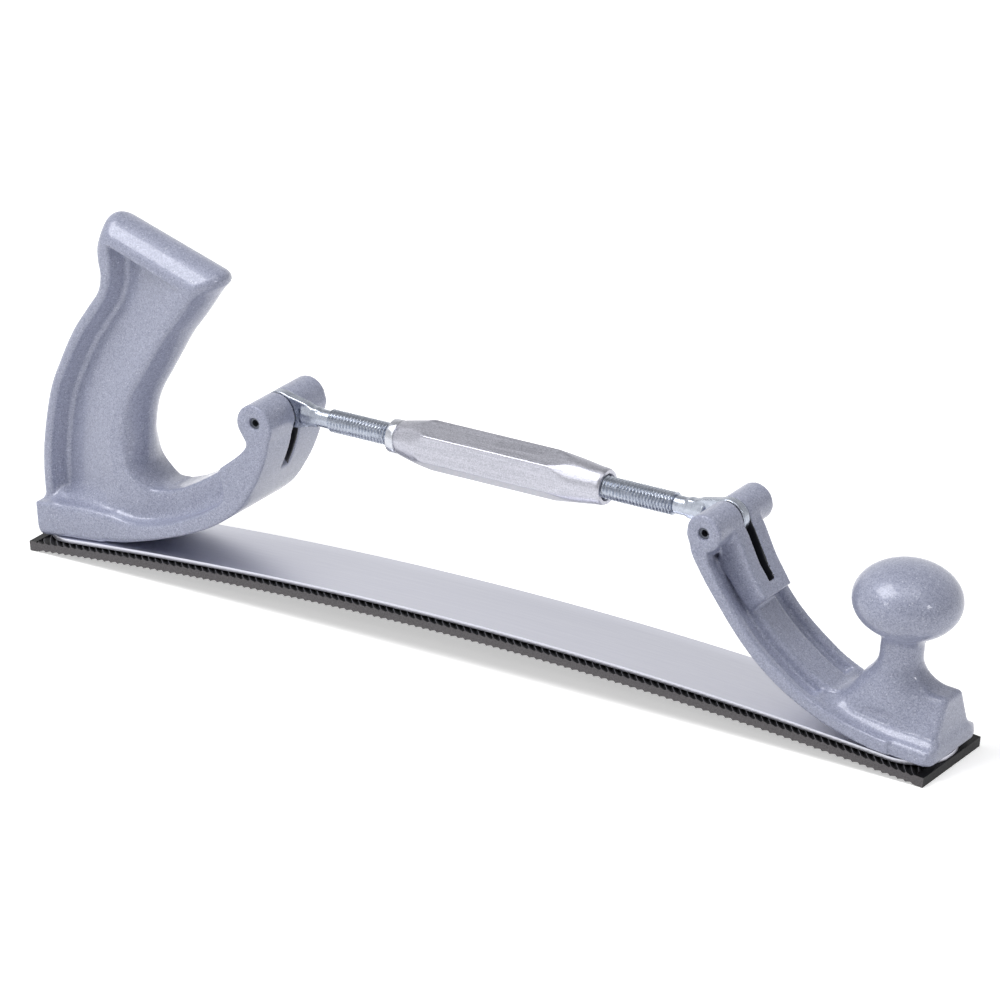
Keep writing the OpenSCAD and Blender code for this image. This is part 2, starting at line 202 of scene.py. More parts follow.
def ellipsoid(x, y, z, half):
    """Distance from an ellipsoid about the origin, close to its surface"""
    near = np.sqrt((x / half[0]) ** 2 + (y / half[1]) ** 2 + (z / half[2]) ** 2)
    slope = np.sqrt((x / half[0] ** 2) ** 2 + (y / half[1] ** 2) ** 2 + (z / half[2] ** 2) ** 2)
    return near * (near - 1) / np.maximum(slope, 1e-3)


def surface_net(field):
    """Corners and outward quads of the surface where a box of samples changes sign, negative inside"""
    steps = np.eye(3, dtype=int)
    sums = np.zeros(field.shape + (3,))
    counts = np.zeros(field.shape)
    quads = []
    for axis in range(3):
        near = np.take(field, range(field.shape[axis] - 1), axis)
        far = np.take(field, range(1, field.shape[axis]), axis)
        start = np.argwhere((near < 0) != (far < 0))
        before, after = near[tuple(start.T)], far[tuple(start.T)]
        crossing = start + steps[axis] * (before / (before - after))[:, None]
        side, up = steps[(axis + 1) % 3], steps[(axis + 2) % 3]
        ring = np.stack([start, start - side, start - side - up, start - up], axis=1)
        for corner in range(4):
            cells = tuple(ring[:, corner].T)
            np.add.at(sums, cells, crossing)
            np.add.at(counts, cells, 1)
        quads.append(np.where((before < 0)[:, None, None], ring, ring[:, ::-1]))
    cells = np.argwhere(counts > 0)
    number = np.zeros(field.shape, int)
    number[tuple(cells.T)] = np.arange(len(cells))
    corners = sums[tuple(cells.T)] / counts[tuple(cells.T)][:, None]
    return corners, number[tuple(np.moveaxis(np.concatenate(quads), -1, 0))]


def sample(values, at):
    """Values of a box of samples between its points"""
    low = np.floor(at).astype(int)
    part = at - low
    total = 0
    for corner in np.ndindex(2, 2, 2):
        weight = np.prod(np.where(corner, part, 1 - part), axis=1)
        picked = values[tuple((low + corner).T)]
        total = total + (weight * picked.T).T
    return total


def solid_from(field_of, low, high, step):
    """Mesh of the solid that a distance field describes, its corners drawn onto the surface"""
    axes = [np.arange(a, b + step, step) for a, b in zip(low, high)]
    field = field_of(*np.meshgrid(*axes, indexing="ij", sparse=True))
    corners, quads = surface_net(field)
    slope = np.stack(np.gradient(field), axis=-1)
    for _ in range(2):
        value, tilt = sample(field, corners), sample(slope, corners)
        move = (value / np.maximum((tilt ** 2).sum(axis=1), 1e-6))[:, None] * tilt
        corners = corners - np.clip(move, -0.4, 0.4)
    return np.array(low) + corners * step, quads


# Side view of the rear handle, in its foot's frame
grip_back = [[-19.4, 10], [-19.2, 20.4], [-17.4, 33.5], [-12.5, 51], [-6.6, 62.8], [0.2, 74],
             [7.3, 82.8], [12.4, 89], [14.2, 95], [13.8, 100]]
grip_top = [[13.4, 104], [13.2, 122], [61, 104.4], [60.7, 97], [59.4, 93.4]]
grip_front = [[55.9, 89.8], [48.9, 81.3], [42.1, 73.7], [36.7, 66.1], [31.9, 59.2], [26.9, 52],
              [23.9, 45.6], [22.2, 38.4], [21.4, 32], [21.6, 26], [25, 21], [31, 19.8]]
grip_foot = [[31, 8], [-10, 8]]
rear_arm_top = [[31, 19.8], [38.9, 22], [48.2, 26.4], [54.6, 30], [62, 34.8], [69.4, 39.8],
                [73.2, 43.6], [73.6, 47]]
rear_arm_outer = [[8, 0], [16, 0.9], [24, 2.6], [34, 5.2], [44.7, 8.4], [56, 12.9], [67, 19.8],
                  [74.3, 28.6], [78.5, 35.5], [81.6, 42.5], [83.7, 50.5]]
rear_flange_top = [[-20.1, 11.6], [-4, 11.8], [10, 10.8], [20, 9.2], [30, 9.6], [40, 12.2], [52, 17],
                   [62.5, 23.4], [70, 31.6], [74.4, 38.6], [78, 47]]
rear_foot_heel = [[-20.4, 3.2], [-19.6, 1], [-17.6, -1], [8, -1]]
rear_foot_top = [[12, 18], [8, 13], [-20.1, 13]]
rear_ear_view = [[63, 20], [110, 20], [110, 70], [61, 70], [61, 34]]
rib_half = 8
rear_widens = [12, 60]
rear_barrel = [77.4, 51.9]
rear_barrel_r = 6.7
rear_pin = [77.8, 52.3]
rear_slot = [[81, 26.4], [66, 43.5], [66, 64], [92, 64], [92, 26.4]]

# How far the grip's front stands out in the middle, at each height, and what each side of it loses
# just over the foot
front_crown = [[20, 1.5], [27, 4.5], [37, 7.8], [47, 6.9], [60, 6], [78, 4.8], [93, 4.8]]
side_loss = 2.4

# Side recess of the grip: its wall at the back and under the cap, and the crease at its front
recess_wall = [[-16, 4], [-16, 15], [-15.8, 21], [-14, 33.5], [-9.2, 50.5], [-3.4, 61.6], [3.2, 72.2],
               [10, 80.6], [15.2, 87.2], [18, 93.6], [18.8, 100], [18.6, 106.2]]
recess_corner = [34, 99.4]
recess_crease = [[47.6, 93], [37.2, 77.6], [24, 60.8], [15.8, 48.2], [11.8, 38.2], [11.2, 29],
                 [12, 20], [13, 4]]
recess_depth = 7.65
recess_fillet = 1.3
wall_draft = 4
web_half = 2.6

# Cap of the grip: the foot of its arch, the height of its side edges and of its middle over that foot,
# how fast it sinks to the back, and the radius of its edge at the back and how much less that is in front
cap_point = [18.8, 106.6]
cap_slope = math.radians(25.4)
cap_edge = 2.4
cap_rise = 5.8
cap_sink = 0.05
cap_level_x = 36
cap_edge_r = 8.2
cap_edge_r_less = 5.9

# Side view of the front handle, in its foot's frame
front_arm_outer = [[-73.3, 52.5], [-71.2, 46.6], [-66.7, 39.6], [-60.7, 32], [-54.3, 24.8], [-46.5, 17.6],
                   [-37.6, 11.4], [-28.5, 6.9], [-18.2, 3.3], [-7, 1], [3, 0]]
front_arm_top = [[-67, 47.5], [-62.6, 41.6], [-56.1, 33], [-45.6, 22.4], [-32.7, 13.8], [-24.6, 10],
                 [-14, 6.8], [-6, 5.4], [3, 4.6]]
front_foot_toe = [[20.2, 4.6], [20.2, 2], [18, -1], [3, -1]]
front_foot_heel = [[-26, -2], [-26, 7.6]]
front_arm_end = 6
front_pin = [-67.2, 53.9]
front_barrel_r = 6.3
front_arm_width = 32
front_block_width = 16.6
front_block = [[-66, 42], [-63, 57.5], [-58.6, 51.6], [-53.4, 42.6], [-47, 34.2], [-52.4, 28], [-58, 33.4]]
front_slot = [[-80, 46.4], [-67, 46.4], [-62.5, 41.4], [-54.6, 32.5], [-48.2, 38.7], [-46, 64], [-80, 64]]

# Upper side of the front arm: the middle rib over the side view, the valleys under the rib, and the
# lips over the valleys
middle_rib_rise = 1.2
valley_depth = 3.6
lip_rise = 2.4

# What each side of the front slot loses towards its lower end, at two heights
slot_taper = [[32, 0.8], [46, 0]]

# Foot body and knob of the front handle
body_base = [[-22, -12], [20.4, 12]]
body_base_z = 4.4
body_top = [[-10.5, 19.6], [19.8, 20.2]]
body_top_half = 5.4
body_heel_r = 5
body_edge_r = 1.6
knob_at = [-0.7, 47]
knob_half = [17.9, 17.9, 12.3]
neck_r = 7.1
neck_span = [16, 42]
neck_fillet = 9
knob_fillet = 3.5


def foot_seat(x, z):
    """Space under the strap's upper face, in a foot's frame: it is round about the arch's middle"""
    top_r = sole_r + strap_top
    return np.hypot(x, z + top_r) - top_r


def screw_hole(x, y, z):
    """Tapped hole for the blade screw"""
    return np.maximum(np.hypot(x, y) - screw_d / 2, z - screw_reach)


def grip_field(x, y, z):
    """Pistol grip: an arched cap over a hollow-sided web, with a crowned front"""
    wide = np.abs(y)
    half = grip_width / 2
    back, front = smooth_line(grip_back), smooth_line(grip_front)
    side_view = outline_distance(np.vstack([back, grip_top, front, grip_foot]), x, z)
    to_back, to_front = line_distance(back, x, z), line_distance(front, x, z)
    forward = to_back / (to_back + to_front + 1e-6)
    crown = np.interp(z, *np.transpose(front_crown)) * forward ** 2
    over_cap = (x - cap_point[0]) * math.sin(cap_slope) + (z - cap_point[1]) * math.cos(cap_slope)
    cap_lean = 2 * cap_rise * wide / half ** 2
    sink = cap_sink * (x - cap_level_x)
    cap = (over_cap - sink - cap_edge - cap_rise * (1 - (wide / half) ** 2)) / np.sqrt(1 + cap_lean ** 2)
    narrow = side_loss * ramp(x, 20, 30) * (1 - ramp(z, 26, 36))
    profile = round_meet(side_view + crown * (y / half) ** 2, cap, cap_edge_r - cap_edge_r_less * forward)
    grip = round_meet(profile, wide - half + narrow, 0.7 + 1.2 * (1 - forward))
    wall, crease = smooth_line(recess_wall), smooth_line(recess_crease)
    recess = outline_distance(np.vstack([wall, [recess_corner], crease]), x, z)
    to_wall, to_crease = line_distance(wall, x, z), line_distance(crease, x, z)
    floor = web_half + (half - web_half) * to_wall / (to_wall + to_crease + 1e-6)
    lean = recess_depth / wall_draft
    wall_side = (wide - half + lean * to_wall) / math.hypot(1, lean)
    left = round_join(-recess, round_join(wide - floor, wall_side, recess_fillet), 0.8)
    return round_meet(grip, left, 0.6)


def rear_handle_field(x, y, z):
    """Rear casting: grip, foot with its flange, rib, and fork with the hinge barrel"""
    wide = np.abs(y)
    outer, arm_top = smooth_line(rear_arm_outer), smooth_line(rear_arm_top)
    barrel = np.hypot(x - rear_barrel[0], z - rear_barrel[1]) - rear_barrel_r
    side_view = np.vstack([rear_foot_heel, outer, [rear_barrel], arm_top[::-1], rear_foot_top])
    whole = round_join(outline_distance(side_view, x, z), barrel, 2)
    under_top = np.vstack([smooth_line(rear_flange_top), [[100, 47], [100, -40], [-20.4, -40]]])
    beside_web = ramp(x, -18, -8) * (1 - ramp(x, 10, 40))
    flange = outline_distance(under_top, x, z)
    rib = round_meet(wide - rib_half, whole, 1.3)
    ears = outline_distance(np.array(rear_ear_view), x, z)
    arm = round_join(round_join(flange, rib, 3), ears, 2.5)
    plan_half = np.interp(x, rear_widens, [foot_width / 2, fork_width / 2])
    arm = round_meet(round_meet(arm, whole, 0.9), wide - plan_half, 0.8 + 1.6 * beside_web)
    union_r = 1.2 + 6.8 * ramp(x, -18, -11) - 6.4 * ramp(x, -4, 24)
    body = round_join(arm, grip_field(x, y, z), union_r)
    slot = np.maximum(outline_distance(np.array(rear_slot), x, z), wide - slot_width / 2)
    body = round_cut(body, slot, 0.5)
    body = round_cut(body, np.hypot(x - rear_pin[0], z - rear_pin[1]) - pin_d / 2, 0.3)
    body = round_cut(body, foot_seat(x, z), 0.8)
    return np.maximum(body, -screw_hole(x, y, z))


def foot_body_field(x, y, z):
    """Tapered block on the front foot, with a sloping top"""
    wide = np.abs(y)
    low, high = body_base_z, (body_top[0][1] + body_top[1][1]) / 2
    sides = past_line([body_base[1][1], low], [body_top_half, high], wide, z)
    rear = -past_line([body_base[0][0], low], body_top[0], x, z)
    front = past_line([body_base[1][0], low], [body_top[1][0], high], x, z)
    top = past_line(body_top[1], body_top[0], x, z)
    block = round_meet(round_meet(rear, sides, body_heel_r), front, body_edge_r)
    return round_meet(block, top, body_edge_r)


def front_handle_field(x, y, z):
    """Front casting: fork, arm with raised lips and a middle rib, foot, neck and knob"""
    wide = np.abs(y)
    outer, top = smooth_line(front_arm_outer), smooth_line(front_arm_top)
    above = outline_distance(np.vstack([outer, [[60, 0], [60, 90], [-73.3, 90]]]), x, z)
    below = outline_distance(np.vstack([top, [[60, 4.6], [60, -40], [-120, -40], [-120, 47.5]]]), x, z)
    lift = middle_rib_rise - valley_depth * ramp(wide, 5.4, 6.8) + lip_rise * ramp(wide, 12, 13.2)
    arm_half = front_arm_width / 2 + (fork_width - front_arm_width) / 2 * ramp(z, 25, 45)
    arm = np.maximum(round_meet(below - lift, wide - arm_half, 0.5), x - front_arm_end)
    plate_view = np.vstack([front_foot_heel, top[top[:, 0] > -24], front_foot_toe])
    plate = round_meet(outline_distance(plate_view, x, z), wide - foot_width / 2, 1.2)
    body = round_join(arm, plate, 0.6)
    body = round_join(body, foot_body_field(x, y, z), 4)
    block = round_meet(outline_distance(np.array(front_block), x, z), wide - front_block_width / 2, 0.7)
    body = round_join(body, block, 0.8)
    ear_view = np.vstack([[front_pin], top[::-1][top[::-1, 0] < -64], outer[::-1][outer[::-1, 0] < -68]])
    barrel = np.hypot(x - front_pin[0], z - front_pin[1]) - front_barrel_r
    ears = round_meet(round_join(outline_distance(ear_view, x, z), barrel, 1), wide - fork_width / 2, 0.8)
    body = round_join(body, ears, 0.8)
    body = round_meet(body, round_join(above, barrel, 0.8), 0.6)
    out = np.hypot(x - knob_at[0], y) - neck_r
    neck = np.maximum(np.maximum(out, neck_span[0] - z), z - neck_span[1])
    knob = ellipsoid(x - knob_at[0], y, z - knob_at[1], knob_half)
    body = round_join(body, neck, neck_fillet)
    body = round_join(body, knob, knob_fillet)
    slot_half = slot_width / 2 - np.interp(z, *np.transpose(slot_taper))
    slot = np.maximum(outline_distance(np.array(front_slot), x, z), wide - slot_half)
    body = round_cut(body, slot, 0.5)
    body = round_cut(body, np.hypot(x - front_pin[0], z - front_pin[1]) - pin_d / 2, 0.3)
    body = round_cut(body, foot_seat(x, z), 0.8)
    return np.maximum(body, -screw_hole(x, y, z))


def eye_field(x, y, z):
    """Forged end of an eyebolt: a flattened eye that runs into a round shoulder"""
    flat, edge = np.abs(y) - eye_half, 0.5
    eye = round_meet(np.hypot(x, z) - eye_r, flat, edge)
    waist = np.abs(z) - np.interp(x, [2, 7, 10.4, shoulder_at], [6, 5, 4.3, shoulder_d / 2])
    tongue = round_meet(round_meet(waist, flat, edge), x - tongue_end, edge)
    shoulder = round_meet(np.hypot(y, z) - shoulder_d / 2, np.abs(x - shoulder_middle) - shoulder_reach, 0.6)
    forging = round_join(round_join(eye, np.maximum(tongue, 1 - x), 0.5), shoulder, 1.2)
    return round_cut(forging, np.hypot(x, z) - (pin_d + eye_play) / 2, 0.3)


# Making objects
crease_angle = 48


def new_object(name, corners, faces, material, smooth=True):
    """Object at the origin with its place in its mesh; corners are in millimetres"""
    mesh = bpy.data.meshes.new(name)
    mesh.from_pydata((np.asarray(corners) * MM).tolist(), [], [list(map(int, face)) for face in faces])
    mesh.polygons.foreach_set("use_smooth", [smooth] * len(mesh.polygons))
    mesh.set_sharp_from_angle(angle=math.radians(crease_angle))
    mesh.materials.append(material)
    mesh.update()
    piece = bpy.data.objects.new(name, mesh)
    bpy.context.scene.collection.objects.link(piece)
    return piece


def keep_result(piece):
    """Makes the piece's modifiers its mesh"""
    bpy.context.view_layer.update()
    evaluated = piece.evaluated_get(bpy.context.evaluated_depsgraph_get())
    mesh = bpy.data.meshes.new_from_object(evaluated)
    piece.modifiers.clear()
    piece.data = mesh
    mesh.name = piece.name


def joined_faces(parts):
    """Corners and faces of several meshes as one"""
    corners, faces, first = [], [], 0
    for part_corners, part_faces in parts:
        corners.append(part_corners)
        faces += [[first + int(i) for i in face] for face in part_faces]
        first += len(part_corners)
    return np.vstack(corners), faces


def tube_faces(rows, around, closed_rows):
    """Quads of a tube of rings, or of a ring of rings, facing out where each ring runs clockwise
    as seen from the next one"""
    ring = np.arange(around)
    after = np.roll(ring, -1)
    faces = []
    for row in range(rows if closed_rows else rows - 1):
        here, there = row * around, (row + 1) % rows * around
        faces += np.stack([here + ring, there + ring, there + after, here + after], axis=1).tolist()
    return faces


def turned(profile, around):
    """Corners and faces turned about X from a closed profile of [station, radius] points"""
    angle = np.linspace(0, 2 * math.pi, around, endpoint=False)
    corners = [[x, r * math.cos(a), r * math.sin(a)] for x, r in profile for a in angle]
    return np.array(corners), tube_faces(len(profile), around, True)


# Node trees, most of whose steps are of one kind
maths = "ShaderNodeMath"


def linear(code):
    """Linear colour of an sRGB hex code"""
    parts = [int(code[i:i + 2], 16) / 255 for i in (1, 3, 5)]
    return [p / 12.92 if p <= 0.04045 else ((p + 0.055) / 1.055) ** 2.4 for p in parts] + [1]


def add(tree, kind, inputs=None, **settings):
    """Adds a node: settings are its own, and each input takes a value, a socket, or a node's first output.
    Inputs are a list in the node's order, or go by name or number"""
    node = tree.nodes.new(kind)
    for name, value in settings.items():
        setattr(node, name, value)
    for key, value in inputs.items() if isinstance(inputs, dict) else enumerate(inputs or []):
        if isinstance(value, bpy.types.Node):
            value = value.outputs[0]
        if isinstance(value, bpy.types.NodeSocket):
            tree.links.new(value, node.inputs[key])
        else:
            node.inputs[key].default_value = value
    return node


def new_material(name):
    """Empty material, its tree, and the Object coordinates for its patterns"""
    material = bpy.data.materials.new(name)
    material.use_nodes = True
    tree = material.node_tree
    tree.nodes.clear()
    return material, tree, add(tree, "ShaderNodeTexCoord").outputs["Object"]


def finish_material(material, inputs):
    """Gives the material its shader, whose own sockets hold the values that are the same all over"""
    tree = material.node_tree
    shader = add(tree, "ShaderNodeBsdfPrincipled", inputs)
    add(tree, "ShaderNodeOutputMaterial", {"Surface": shader})
    return material


def finish_metal(material, pattern, tones, roughness, normal=None):
    """Gives a bare metal its shader, whose colour and roughness follow a pattern between two ends"""
    tree = material.node_tree
    colour = add(tree, "ShaderNodeMix", {"Factor": pattern, "A": linear(tones[0]), "B": linear(tones[1])},
                 data_type="RGBA")
    rough = add(tree, "ShaderNodeMapRange", {0: pattern, 3: roughness[0], 4: roughness[1]})
    inputs = {"Base Color": colour.outputs[2], "Metallic": 1.0, "Roughness": rough}
    if normal:
        inputs["Normal"] = normal
    return finish_material(material, inputs)


def sideways(tree):
    """How squarely the surface faces to the side, from 0 to 1"""
    facing = add(tree, "ShaderNodeSeparateXYZ", [add(tree, "ShaderNodeNewGeometry").outputs["True Normal"]])
    return add(tree, maths, [facing.outputs[1]], operation="ABSOLUTE")


def per_metre(size):
    """Texture scale for features of a size in millimetres"""
    return 1 / (size * MM)


def painted_die_cast():
    """Silver-grey metallic stove enamel on a die casting: its flakes give a fine light and dark speckle
    in a semi-gloss skin, over the faint unevenness of the casting. The flakes are drawn 0.35 mm wide to
    show, and the walls of the forks' slots are painted dark: painted shade of the deep slots"""
    material, tree, place = new_material("painted_die_cast")
    flakes = add(tree, "ShaderNodeTexVoronoi", {"Vector": place, "Scale": per_metre(0.35)})
    shade = add(tree, "ShaderNodeSeparateColor", [flakes.outputs["Color"]])
    spark = add(tree, "ShaderNodeMapRange", [shade.outputs[1], 0.96, 1.0, 0.0, 0.6])
    dip = add(tree, "ShaderNodeMapRange", [shade.outputs[2], 0.95, 1.0, 0.0, 0.5])

    # Painted shade on the walls of the slots: they lie near the middle plane and face sideways
    across = add(tree, "ShaderNodeSeparateXYZ", [place])
    off_middle = add(tree, maths, [across.outputs[1]], operation="ABSOLUTE")
    wall_at = (slot_width / 2 + 0.15) * MM
    near = add(tree, maths, [off_middle, wall_at], operation="LESS_THAN")
    wall = add(tree, maths, [sideways(tree), 0.6], operation="GREATER_THAN")
    painted_slot_shade = add(tree, maths, [near, wall], operation="MULTIPLY")

    # Tones over the flake colour; the last one is painted shade, darkening the slot walls
    colour = linear("#8a8fa6")
    for share, tone in ((shade.outputs[0], "#adb1c6"), (spark, "#dcdfea"), (dip, "#6f7386"),
                        (painted_slot_shade, "#26272e")):
        mixed = add(tree, "ShaderNodeMix", {"Factor": share, "A": colour, "B": linear(tone)},
                    data_type="RGBA")
        colour = mixed.outputs[2]
    rough = add(tree, "ShaderNodeMapRange", {0: shade.outputs[1], 3: 0.34, 4: 0.5})
    skin = add(tree, "ShaderNodeTexNoise", {"Vector": place, "Scale": per_metre(1.4), "Detail": 1.0})
    cast = add(tree, "ShaderNodeTexNoise", {"Vector": place, "Scale": per_metre(14), "Detail": 1.0})
    fine = add(tree, "ShaderNodeBump", {"Strength": 0.25, "Distance": 0.00008, "Height": skin})
    wavy = add(tree, "ShaderNodeBump", {"Strength": 0.3, "Distance": 0.0003, "Height": cast, "Normal": fine})
    return finish_material(material, {
        "Base Color": colour, "Metallic": 0.12, "Roughness": rough, "Coat Weight": 0.5,
        "Coat Roughness": 0.08, "Normal": wavy})


def plated_steel(name, dark, pale):
    """Bright plating on steel: a bluish mirror, a little clouded"""
    material, tree, place = new_material(name)
    cloud = add(tree, "ShaderNodeTexNoise", {"Vector": place, "Scale": per_metre(1.6), "Detail": 3.0})
    return finish_metal(material, cloud, (dark, pale), (0.2, 0.34))


def phosphated_spring_steel():
    """Hardened spring pins with their dull grey phosphate coat"""
    material = new_material("phosphated_spring_steel")[0]
    return finish_material(material, {"Base Color": linear("#646872"), "Metallic": 0.8, "Roughness": 0.5})


def turned_aluminium():
    """Drawn and turned aluminium, tumbled: pale satin with a fine grain, and a trace of the drawing lines.
    The grain is drawn 0.4 mm wide, where the real one is finer"""
    material, tree, place = new_material("turned_aluminium")
    grain = add(tree, "ShaderNodeTexNoise", {"Vector": place, "Scale": per_metre(0.4), "Detail": 2.0})
    drawn = add(tree, "ShaderNodeMapping", {"Vector": place, "Scale": (40, 2000, 2000)})
    lines = add(tree, "ShaderNodeTexNoise", {"Vector": drawn, "Scale": 1.0, "Detail": 2.0})
    both = add(tree, maths, [grain, 0.7], operation="MULTIPLY")
    mixed = add(tree, maths, [lines, 0.3, both], operation="MULTIPLY_ADD")
    shade = add(tree, "ShaderNodeMapRange", [mixed, 0.35, 0.65])
    marks = add(tree, "ShaderNodeBump", {"Strength": 0.2, "Distance": 0.00005, "Height": mixed})
    return finish_metal(material, shade, ("#a3a4ae", "#cbcbd5"), (0.28, 0.42), marks)


def ground_spring_steel():
    """Spring steel strap with a ground and polished face: bright satin, streaked along its length"""
    material, tree, place = new_material("ground_spring_steel")
    ground = add(tree, "ShaderNodeMapping", {"Vector": place, "Scale": (25, 1400, 1400)})
    streaks = add(tree, "ShaderNodeTexNoise", {"Vector": ground, "Scale": 1.0, "Detail": 3.0})
    return finish_metal(material, streaks, ("#d6d7e3", "#e5e6ef"), (0.34, 0.42))


def milled_file_steel():
    """Hardened file steel with near-black toothed faces: a painted highlight lies along the tips of the
    milled teeth, and both edges are rough ground and grey"""
    material, tree, place = new_material("milled_file_steel")
    height = add(tree, "ShaderNodeAttribute", attribute_name="tooth_height")
    # Painted highlight: the top of each tooth is painted light
    painted_tip_highlight = add(tree, "ShaderNodeMapRange", [height.outputs["Fac"], 0.88, 1.0])
    grit = add(tree, "ShaderNodeTexNoise", {"Vector": place, "Scale": per_metre(0.5), "Detail": 3.0})
    faces = add(tree, "ShaderNodeMix", {"Factor": painted_tip_highlight, "A": linear("#0c0c0f"), "B": linear("#a3a2a8")},
                data_type="RGBA")
    edge = add(tree, "ShaderNodeMix", {"Factor": grit, "A": linear("#1d1c1f"), "B": linear("#777476")},
               data_type="RGBA")
    is_edge = add(tree, maths, [sideways(tree), 0.9], operation="GREATER_THAN")
    colour = add(tree, "ShaderNodeMix", {"Factor": is_edge, "A": faces.outputs[2], "B": edge.outputs[2]},
                 data_type="RGBA")
    rough = add(tree, "ShaderNodeMapRange", {0: grit, 3: 0.35, 4: 0.6})
    pits = add(tree, "ShaderNodeBump", {"Strength": 0.4, "Distance": 0.00015, "Height": grit})
    return finish_material(material, {
        "Base Color": colour.outputs[2], "Metallic": 0.75, "Roughness": rough, "Normal": pits})


# Geometry Nodes trees
def new_tree(name, counts, measures):
    """Geometry tree with named inputs for counts, measures and the material, and the identifier of each"""
    tree = bpy.data.node_groups.new(name, "GeometryNodeTree")
    tree.interface.new_socket("Geometry", in_out="OUTPUT", socket_type="NodeSocketGeometry")
    names = {}
    for kind, labels in (("Int", counts), ("Float", measures), ("Material", ["Material"])):
        for label in labels:
            socket = tree.interface.new_socket(label, in_out="INPUT", socket_type="NodeSocket" + kind)
            names[label] = socket.identifier
    return tree, add(tree, "NodeGroupInput"), names


def finish_tree(tree, group, geometry):
    """Realizes the tree's result and gives it its material"""
    real = add(tree, "GeometryNodeRealizeInstances", [geometry])
    done = add(tree, "GeometryNodeSetMaterial", {0: real, "Material": group.outputs["Material"]})
    add(tree, "NodeGroupOutput", [done])


def grown(name, tree, names, values, smooth):
    """Object whose mesh a tree makes from the values of its inputs"""
    piece = new_object(name, np.zeros((0, 3)), [], values["Material"])
    modifier = piece.modifiers.new(name, "NODES")
    modifier.node_group = tree
    for label, value in values.items():
        modifier[names[label]] = value
    keep_result(piece)
    piece.data.polygons.foreach_set("use_smooth", [smooth] * len(piece.data.polygons))
    return piece


